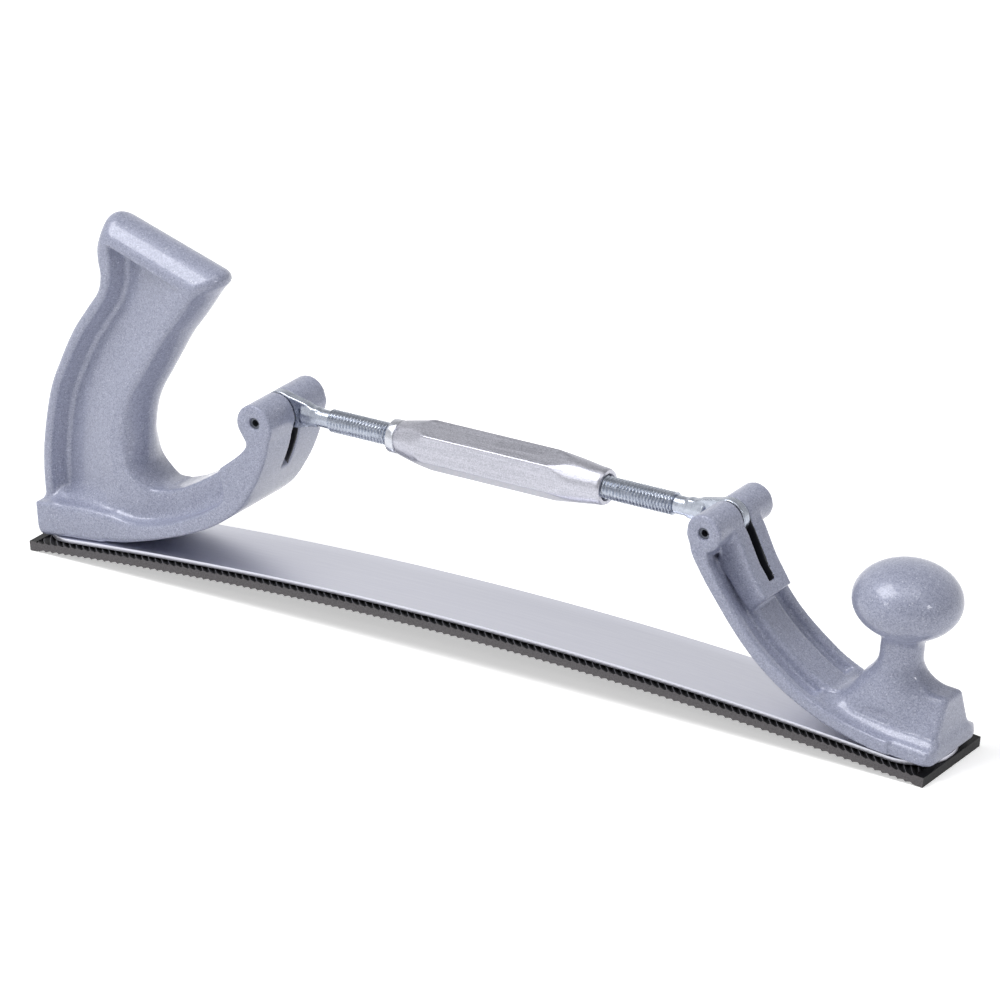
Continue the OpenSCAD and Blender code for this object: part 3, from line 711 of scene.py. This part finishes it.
def blade_tree():
    """Stretch of the file blade: rows of corners follow the curved teeth of both faces, and stop at
    the plain ends"""
    tree, group, names = new_tree("milled_blade", ["Rows", "Columns"], [
        "First Row", "Row Step", "Rows per Tooth", "Width", "Thickness", "Tooth Depth", "Tooth Lean",
        "Gullet Hollow", "Tooth Radius", "Low", "High", "Rear End", "Front End", "Sole Radius",
        "Sole Drop", "Arch X"])
    given = group.outputs
    block = add(tree, "GeometryNodeMeshCube", {1: given["Rows"], 2: given["Columns"], 3: 2})
    place = add(tree, "ShaderNodeSeparateXYZ", [add(tree, "GeometryNodeInputPosition")])
    last = add(tree, maths, [given["Rows"], 1.0], operation="SUBTRACT")
    from_end = add(tree, maths, [place.outputs[0], 0.5])
    exact = add(tree, maths, [from_end, last], operation="MULTIPLY")
    row = add(tree, maths, [exact], operation="ROUND")
    count = add(tree, maths, [row, given["First Row"]])
    across = add(tree, maths, [place.outputs[1], given["Width"]], operation="MULTIPLY")

    # Each tooth is an arc across the blade
    square = add(tree, maths, [across, across], operation="MULTIPLY")
    radius_square = add(tree, maths, [given["Tooth Radius"], 2.0], operation="POWER")
    inner = add(tree, maths, [radius_square, square], operation="SUBTRACT")
    chord = add(tree, maths, [inner], operation="SQRT")
    bow = add(tree, maths, [given["Tooth Radius"], chord], operation="SUBTRACT")
    free = add(tree, maths, [count, given["Row Step"], bow], operation="MULTIPLY_ADD")
    kept = add(tree, "ShaderNodeClamp", [free, given["Low"], given["High"]])
    beyond = add(tree, maths, [free, kept, 1e-7], operation="COMPARE")
    plain = add(tree, maths, [1.0, beyond], operation="SUBTRACT")

    # Profile of a tooth: a steep front and a hollow back
    teeth = add(tree, maths, [count, given["Rows per Tooth"]], operation="DIVIDE")
    phase = add(tree, maths, [teeth], operation="FRACT")
    rise = add(tree, maths, [phase, given["Tooth Lean"]], operation="DIVIDE")
    rest = add(tree, maths, [1.0, phase], operation="SUBTRACT")
    back_part = add(tree, maths, [1.0, given["Tooth Lean"]], operation="SUBTRACT")
    share = add(tree, maths, [rest, back_part], operation="DIVIDE")
    fall = add(tree, maths, [share, given["Gullet Hollow"]], operation="POWER")
    tooth = add(tree, maths, [rise, fall], operation="MINIMUM")
    height = add(tree, maths, [tooth, plain], operation="MAXIMUM")
    missing = add(tree, maths, [1.0, height], operation="SUBTRACT")
    depth = add(tree, maths, [missing, given["Tooth Depth"]], operation="MULTIPLY")
    upper = add(tree, maths, [place.outputs[2], 0.0], operation="GREATER_THAN")
    twice = add(tree, maths, [depth, -2.0, given["Thickness"]], operation="MULTIPLY_ADD")
    over = add(tree, maths, [upper, twice, depth], operation="MULTIPLY_ADD")

    # Plain ends, and the arch of the sole
    is_first = add(tree, maths, [row, 0.5], operation="LESS_THAN")
    before_last = add(tree, maths, [last, 0.5], operation="SUBTRACT")
    is_last = add(tree, maths, [row, before_last], operation="GREATER_THAN")
    back_off = add(tree, maths, [is_first, given["Rear End"]], operation="MULTIPLY")
    reach = add(tree, maths, [kept, back_off], operation="SUBTRACT")
    station = add(tree, maths, [is_last, given["Front End"], reach], operation="MULTIPLY_ADD")
    angle = add(tree, maths, [station, given["Sole Radius"]], operation="DIVIDE")
    radius = add(tree, maths, [given["Sole Radius"], over])
    sine = add(tree, maths, [angle], operation="SINE")
    cosine = add(tree, maths, [angle], operation="COSINE")
    x = add(tree, maths, [radius, sine, given["Arch X"]], operation="MULTIPLY_ADD")
    lift = add(tree, maths, [radius, cosine], operation="MULTIPLY")
    z = add(tree, maths, [lift, given["Sole Drop"]], operation="SUBTRACT")
    point = add(tree, "ShaderNodeCombineXYZ", [x, across, z])
    # The stored tooth height is where the file material paints its highlight on the tips; plain ends stay
    # below it
    shown = add(tree, maths, [plain, -0.4, height], operation="MULTIPLY_ADD")
    marked = add(tree, "GeometryNodeStoreNamedAttribute",
                 {"Geometry": block, "Name": "tooth_height", "Value": shown}, domain="POINT")
    placed = add(tree, "GeometryNodeSetPosition", {"Geometry": marked, "Position": point})
    merged = add(tree, "GeometryNodeMergeByDistance", {"Geometry": placed, "Distance": 1e-6})
    finish_tree(tree, group, merged)
    return tree, names


def thread_tree():
    """Threaded stud along X: a grid wound round the axis, whose radius follows the turns"""
    tree, group, names = new_tree("screw_thread", ["Rows", "Around"], [
        "From", "To", "Pitch", "Hand", "Root Radius", "Tip Radius"])
    given = group.outputs
    sheet = add(tree, "GeometryNodeMeshGrid", [1.0, 1.0, given["Rows"], given["Around"]])
    place = add(tree, "ShaderNodeSeparateXYZ", [add(tree, "GeometryNodeInputPosition")])
    share = add(tree, maths, [place.outputs[0], 0.5])
    part = add(tree, maths, [place.outputs[1], 0.5])
    station = add(tree, "ShaderNodeMapRange", {0: share, 3: given["From"], 4: given["To"]})
    turns = add(tree, maths, [part, given["Hand"]], operation="MULTIPLY")
    along = add(tree, maths, [station, given["Pitch"]], operation="DIVIDE")
    phase = add(tree, maths, [along, turns], operation="SUBTRACT")
    groove = add(tree, maths, [phase, 0.5], operation="PINGPONG")
    crest = add(tree, "ShaderNodeMapRange", [groove, 0.06, 0.44])
    span = add(tree, "ShaderNodeMapRange", {0: crest, 3: given["Root Radius"], 4: given["Tip Radius"]})

    # The first and last rows shrink to a point, so that both ends are closed
    ends = add(tree, maths, [place.outputs[0]], operation="ABSOLUTE")
    inside = add(tree, maths, [ends, 0.4999], operation="LESS_THAN")
    radius = add(tree, maths, [span, inside], operation="MULTIPLY")
    angle = add(tree, maths, [part, 2 * math.pi], operation="MULTIPLY")
    sine = add(tree, maths, [angle], operation="SINE")
    cosine = add(tree, maths, [angle], operation="COSINE")
    y = add(tree, maths, [radius, cosine], operation="MULTIPLY")
    z = add(tree, maths, [radius, sine], operation="MULTIPLY")
    point = add(tree, "ShaderNodeCombineXYZ", [station, y, z])
    placed = add(tree, "GeometryNodeSetPosition", {"Geometry": sheet, "Position": point})
    merged = add(tree, "GeometryNodeMergeByDistance", {"Geometry": placed, "Distance": 1e-6})
    finish_tree(tree, group, merged)
    return tree, names


# Pieces, and the distance between the samples of the cast and of the forged ones
casting_step = 0.6
forging_step = 0.25


def make_rear_handle(paint):
    """Grip, foot, arm and fork in one painted casting"""
    corners, quads = solid_from(rear_handle_field, (-24, -19.2, -4.2), (88, 19.2, 118.2), casting_step)
    piece = new_object("rear_handle_casting", on_foot(corners, -1), quads, paint)
    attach(piece, "rear_half")
    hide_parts("rear_handle")


def make_front_handle(paint):
    """Fork, arm, foot and knob in one painted casting"""
    corners, quads = solid_from(front_handle_field, (-77.2, -21, -4.2), (23.6, 21, 63), casting_step)
    piece = new_object("front_handle_casting", on_foot(corners, 1), quads, paint)
    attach(piece, "front_half")
    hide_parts("front_handle")


def make_spring_pin(end, body, steel):
    """Hollow pin rolled from sheet, with its slit and chamfered ends"""
    short_of_fork = 1
    half_length = fork_width / 2 - short_of_fork
    outer, inner, chamfer, slit = pin_d / 2, 1.2, 0.12, 0.3
    half_slit = math.asin(slit / inner / 2)
    arc = np.linspace(half_slit, 2 * math.pi - half_slit, 40)
    rings = []
    for y, trim in [(-half_length, chamfer), (-half_length + 2 * chamfer, 0),
                    (half_length - 2 * chamfer, 0), (half_length, chamfer)]:
        rim = [[(outer - trim) * math.cos(a), y, (outer - trim) * math.sin(a)] for a in arc]
        bore = [[inner * math.cos(a), y, inner * math.sin(a)] for a in arc[::-1]]
        rings.append(rim + bore)
    around = 2 * len(arc)
    corners = np.array(rings).reshape(-1, 3) + pins[0 if end == "rear" else 1]
    faces = tube_faces(len(rings), around, False)
    last = (len(rings) - 1) * around
    for i in range(len(arc) - 1):
        rim, bore = i, around - 1 - i
        faces.append([rim, rim + 1, bore - 1, bore])
        faces.append([last + rim, last + bore, last + bore - 1, last + rim + 1])
    piece = new_object(f"{end}_spring_pin", corners, faces, steel, smooth=False)
    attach(piece, body)
    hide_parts(f"{end}_hinge_pin")


def make_eyebolt(end, body, hand, steel):
    """Forged eye and shoulder with a rolled thread: left-hand at the rear, right-hand at the front"""
    forging = solid_from(eye_field, (-7.4, -4.4, -7.4), (21.4, 4.4, 7.4), forging_step)
    tree, names = thread_tree()
    rows_per_turn, overlap = 8, 0.4
    stud = grown("stud", tree, names, {
        "Rows": round((stud_end - thread_at + overlap) / thread_pitch * rows_per_turn), "Around": 37,
        "From": (thread_at - overlap) * MM, "To": stud_end * MM, "Pitch": thread_pitch * MM, "Hand": hand,
        "Root Radius": thread_root_d / 2 * MM, "Tip Radius": thread_d / 2 * MM, "Material": steel}, True)
    stud_corners = np.array([corner.co for corner in stud.data.vertices]) / MM
    stud_faces = [list(face.vertices) for face in stud.data.polygons]
    bpy.data.objects.remove(stud)
    corners, faces = joined_faces([forging, (stud_corners, stud_faces)])
    piece = new_object(f"{end}_eyebolt_forging", on_link(corners, end), faces, steel)
    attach(piece, body)
    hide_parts(f"{end}_eyebolt")


def make_bush(steel):
    """Steel bush with the left-hand thread: its collar shows at the rear end of the turnbuckle"""
    edge = 0.4
    start, step_at, stop = collar_station, collar_station + collar_width, collar_station + bush_length
    flat_r, bore_r, mouth = collar_d / 2 - edge, bush_bore / 2, 0.6
    quarter = np.linspace(0, math.pi / 2, 4)
    first = [[start + edge - edge * math.cos(a), flat_r + edge * math.sin(a)] for a in quarter]
    second = [[step_at - edge + edge * math.sin(a), flat_r + edge * math.cos(a)] for a in quarter]
    body = [[step_at, bush_d / 2], [stop, bush_d / 2], [stop, bore_r], [start + mouth, bore_r]]
    profile = [[start, bore_r + mouth], *first, *second, *body]
    corners, faces = turned(profile, 64)
    piece = new_object("left_hand_collar_bush", on_link(corners, "rear"), faces, steel, smooth=False)
    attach(piece, "bush")
    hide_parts("left_hand_bush")


def make_turnbuckle(aluminium):
    """Hexagon bar whose ends are turned to a taper, bored through"""
    profile = np.array([[0, 5.5], [1, 5.9], [9.5, 7.7], [15, 9.4], [59.5, 9.4], [62, 8.5], [66.5, 7.7],
                        [72, 7], [76.5, 6.4], [79.4, 6.15], [80.2, 5.7]])
    blend, rows, around = 0.35, 200, 180
    station = np.linspace(0, turnbuckle_length, rows)
    angle = np.linspace(0, 2 * math.pi, around, endpoint=False)
    sixth = math.pi / 3
    from_flat = (angle - math.radians(hex_twist)) % sixth - sixth / 2
    hexagon = hex_flats / 2 / np.cos(from_flat)
    taper = np.interp(station, profile[:, 0], profile[:, 1])[:, None]
    share = np.clip(0.5 + (taper - hexagon) / (2 * blend), 0, 1)
    radius = taper * (1 - share) + hexagon * share - blend * share * (1 - share)
    flare, mouth = 0.5, 0.6
    bore = np.full((4, around), stud_bore / 2)
    bore[[0, 3]] += flare
    stations = np.concatenate([station, [turnbuckle_length, turnbuckle_length - mouth, mouth, 0]])
    radii = np.vstack([radius, bore])
    start = collar_station + collar_width
    corners = np.stack([np.broadcast_to(start + stations[:, None], radii.shape), radii * np.sin(angle),
                        radii * np.cos(angle)], axis=-1).reshape(-1, 3)
    faces = [face[::-1] for face in tube_faces(len(stations), around, True)]
    piece = new_object("turnbuckle_hexagon", on_link(corners, "rear"), faces, aluminium)
    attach(piece, "turnbuckle")
    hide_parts("turnbuckle_body")


def cut_screw_hole(piece, side):
    """Countersunk hole for the blade screw, through strap and file"""
    sink = screw_sink - strap_top
    taper = (screw_head_d - screw_d) / 2
    clearance = 0.2
    profile = [[sink - 3, 0], [sink - 3, screw_head_d / 2], [sink, screw_head_d / 2],
               [sink + taper - clearance, screw_d / 2 + clearance], [4, screw_d / 2 + clearance], [4, 0]]
    corners, faces = turned(profile, 48)
    upright = np.stack([corners[:, 1], corners[:, 2], corners[:, 0]], axis=-1)
    cutter = new_object("screw_hole_cutter", on_foot(upright, side), faces, piece.data.materials[0])
    keep_merged(cutter)
    cut = piece.modifiers.new("screw_hole", "BOOLEAN")
    cut.operation = "DIFFERENCE"
    cut.object = cutter
    keep_result(piece)
    bpy.data.objects.remove(cutter)


def keep_merged(piece):
    """Joins corners of the mesh that lie in one place"""
    weld = piece.modifiers.new("weld", "WELD")
    weld.merge_threshold = 1e-6
    keep_result(piece)


# The blade and the strap bend, so each is made in four stretches that meet in the middle of the links
stretch_ends = [-half_arc, -link_length, 0, link_length, half_arc]


def finish_stretch(piece, number):
    """Cuts the screw hole of an end stretch, and keeps its placement in its mesh"""
    if number in (0, 3):
        cut_screw_hole(piece, -1 if number == 0 else 1)
    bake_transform(piece)


def make_file(steel):
    """File blade with curved milled teeth on both faces, plain at its square ends"""
    tree, names = blade_tree()
    rows_per_tooth = 8
    row_step = link_length / link_teeth / rows_per_tooth
    tooth_radius = 26
    bow = tooth_radius - math.sqrt(tooth_radius ** 2 - (file_width / 2) ** 2)
    reach = half_arc - end_plain
    for number in range(4):
        first, last = (round(stretch_ends[number + i] / row_step) for i in (0, 1))
        if number == 0:
            first = math.floor((-reach - bow) / row_step) - 1
        if number == 3:
            last = math.ceil(reach / row_step) + 1
        piece = grown(f"file_blade_{number + 1}", tree, names, {
            "Rows": last - first + 1, "Columns": 25, "First Row": float(first), "Row Step": row_step * MM,
            "Rows per Tooth": float(rows_per_tooth), "Width": file_width * MM, "Thickness": file_thick * MM,
            "Tooth Depth": tooth_depth * MM, "Tooth Lean": 0.25, "Gullet Hollow": 1.5,
            "Tooth Radius": tooth_radius * MM, "Low": -reach * MM, "High": reach * MM,
            "Rear End": end_plain * MM if number == 0 else 0.0,
            "Front End": end_plain * MM if number == 3 else 0.0,
            "Sole Radius": sole_r * MM, "Sole Drop": sole_drop * MM, "Arch X": arch_x * MM,
            "Material": steel}, False)
        finish_stretch(piece, number)
        nodes = [["file_rear_end", "file_link_1"], ["file_link_2"], ["file_link_3"], ["file_front_end"]]
        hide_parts(*nodes[number])


def make_strap(steel):
    """Back strap with rolled edges and round ends, lying on the blade"""
    edge, half_thick = 0.2, strap_thick / 2
    turn = np.linspace(0, math.pi / 2, 4)
    for number in range(4):
        low, high = (np.clip(stretch_ends[number + i], -strap_end, strap_end) for i in (0, 1))
        stations = list(np.linspace(low, high, 60))
        swing = strap_corner * (1 - np.cos(np.linspace(0, math.pi / 2, 16)))
        if number == 0:
            stations = [*(low + swing), *[s for s in stations if s > low + strap_corner + 1]]
        if number == 3:
            stations = [*[s for s in stations if s < high - strap_corner - 1], *(high - swing[::-1])]
        rings = []
        for s in stations:
            short = max(abs(s) - (strap_end - strap_corner), 0)
            half = strap_width / 2 - strap_corner + math.sqrt(max(strap_corner ** 2 - short ** 2, 0))
            inner = half - edge
            across = np.concatenate([np.linspace(-inner, inner, 7)[:-1], inner + edge * np.sin(turn)])
            rise = np.concatenate([np.full(6, half_thick), half_thick - edge * (1 - np.cos(turn))])
            ring = np.concatenate([np.stack([across, rise], -1), np.stack([-across, -rise], -1)])
            place = on_arch(np.full(len(ring), s), file_thick + half_thick + ring[:, 1])
            place[:, 1] = ring[:, 0]
            rings.append(place)
        around = len(rings[0])
        faces = tube_faces(len(rings), around, False)
        faces.append(list(range(around)))
        faces.append([(len(rings) - 1) * around + i for i in range(around)][::-1])
        piece = new_object(f"back_strap_{number + 1}", np.vstack(rings), faces, steel)
        finish_stretch(piece, number)
        nodes = [["strap_rear_end", "strap_link_1"], ["strap_link_2"], ["strap_link_3"], ["strap_front_end"]]
        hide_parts(*nodes[number])


def dress_screws(steel):
    """The CAD's blade screws keep their shape and get the plated finish"""
    for name in ("rear_blade_screw", "front_blade_screw"):
        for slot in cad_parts[name].material_slots:
            slot.material = steel


# Stage, lamps and camera
def make_floor():
    """Pale floor that shows white to the camera and keeps the object's shadow"""
    material, tree = new_material("pale_studio_floor")[:2]
    matt = add(tree, "ShaderNodeBsdfDiffuse", {"Color": linear("#f4f4f4")})
    glow = add(tree, "ShaderNodeEmission", {"Color": (1, 1, 1, 1), "Strength": 0.5})
    both = add(tree, "ShaderNodeAddShader", [matt, glow])
    rays = add(tree, "ShaderNodeLightPath")
    seen = add(tree, maths, [rays.outputs["Is Camera Ray"], rays.outputs["Is Glossy Ray"]],
               operation="MAXIMUM")
    shown = add(tree, "ShaderNodeMixShader", [seen, matt, both])
    add(tree, "ShaderNodeOutputMaterial", {"Surface": shown})
    reach = 3000
    corners = [[-reach, -reach, 0], [reach, -reach, 0], [reach, reach, 0], [-reach, reach, 0]]
    floor = new_object("studio_floor", np.array(corners), [[0, 1, 2, 3]], material, smooth=False)


def make_world():
    """White to the camera. Reflections see white up to a greyer ceiling, all else gets a soft light, and
    both are dimmer on the right"""
    world = bpy.data.worlds.new("soft_studio")
    world.use_nodes = True
    tree = world.node_tree
    tree.nodes.clear()
    rays = add(tree, "ShaderNodeLightPath")
    way = add(tree, "ShaderNodeSeparateXYZ", [add(tree, "ShaderNodeTexCoord").outputs["Generated"]])
    ceiling = add(tree, "ShaderNodeMapRange", [way.outputs[2], 0.28, 0.8, 1.0, 0.45])
    right_side = add(tree, "ShaderNodeMapRange", [way.outputs[0], 0.0, 0.8, 1.0, 0.55])
    mirrored = add(tree, maths, [rays.outputs["Is Glossy Ray"], rays.outputs["Is Transmission Ray"]],
                   operation="MAXIMUM")
    soft = add(tree, "ShaderNodeMix", {"Factor": mirrored, "A": 0.38, "B": ceiling})
    sided = add(tree, maths, [soft, right_side], operation="MULTIPLY")
    strength = add(tree, "ShaderNodeMix", {"Factor": rays.outputs["Is Camera Ray"], "A": sided, "B": 1.0})
    glow = add(tree, "ShaderNodeBackground", {"Color": (1, 1, 1, 1), "Strength": strength})
    add(tree, "ShaderNodeOutputWorld", {"Surface": glow})
    bpy.context.scene.world = world


def add_softbox(name, at, size, power):
    """Square lamp facing the middle of the blade"""
    target = (0, 0, 0.05)
    lamp = bpy.data.lights.new(name, "AREA")
    lamp.shape = "SQUARE"
    lamp.size = size
    lamp.energy = power
    softbox = bpy.data.objects.new(name, lamp)
    facing = Vector(target) - Vector(at)
    softbox.matrix_world = Matrix.Translation(at) @ facing.to_track_quat("-Z", "Y").to_matrix().to_4x4()
    bpy.context.scene.collection.objects.link(softbox)


def add_camera():
    """Camera at the photograph's place, fitted to the pins, the blade and the handles"""
    turn, rise, roll = math.radians(33.105), math.radians(22.864), math.radians(-0.165)
    target = np.array([4.215, 0, 53.04])
    distance = 2097
    right = np.array([math.cos(turn), math.sin(turn), 0])
    forward = np.array([-math.sin(turn) * math.cos(rise), math.cos(turn) * math.cos(rise), -math.sin(rise)])
    up = np.cross(right, forward)
    rolled_right = math.cos(roll) * right + math.sin(roll) * up
    rolled_up = math.cos(roll) * up - math.sin(roll) * right
    lens = bpy.data.cameras.new("camera")
    lens.sensor_width = 36
    lens.lens = 230.87
    lens.clip_end = 50
    camera = bpy.data.objects.new("camera", lens)
    matrix = Matrix.Identity(4)
    for i, axis in enumerate((rolled_right, rolled_up, -forward, (target - distance * forward) * MM)):
        for k in range(3):
            matrix[k][i] = axis[k]
    camera.matrix_world = matrix
    bpy.context.scene.collection.objects.link(camera)
    bpy.context.scene.camera = camera


add_camera()
paint = painted_die_cast()
zinc = plated_steel("bright_zinc_plate", "#8d93a1", "#cdd3de")
phosphate = phosphated_spring_steel()
make_rear_handle(paint)
make_front_handle(paint)
make_spring_pin("rear", "rear_half", phosphate)
make_spring_pin("front", "front_half", phosphate)
make_eyebolt("rear", "rear_eye", -1.0, zinc)
make_eyebolt("front", "front_eye", 1.0, zinc)
make_bush(plated_steel("nickel_plate", "#a9acb5", "#dfe1e8"))
dress_screws(zinc)
make_turnbuckle(turned_aluminium())
make_file(milled_file_steel())
make_strap(ground_spring_steel())

make_world()
make_floor()
add_softbox("key_softbox", (-0.8, -0.7, 2.1), 1.2, 30)
add_softbox("top_softbox", (0.6, -0.2, 2.2), 1.2, 8)
add_softbox("left_softbox", (-0.39, -1.55, 1.22), 0.3, 2.4)
add_softbox("right_softbox", (1.83, -0.27, 1.13), 0.3, 3.4)
bpy.context.scene.view_settings.view_transform = "Standard"
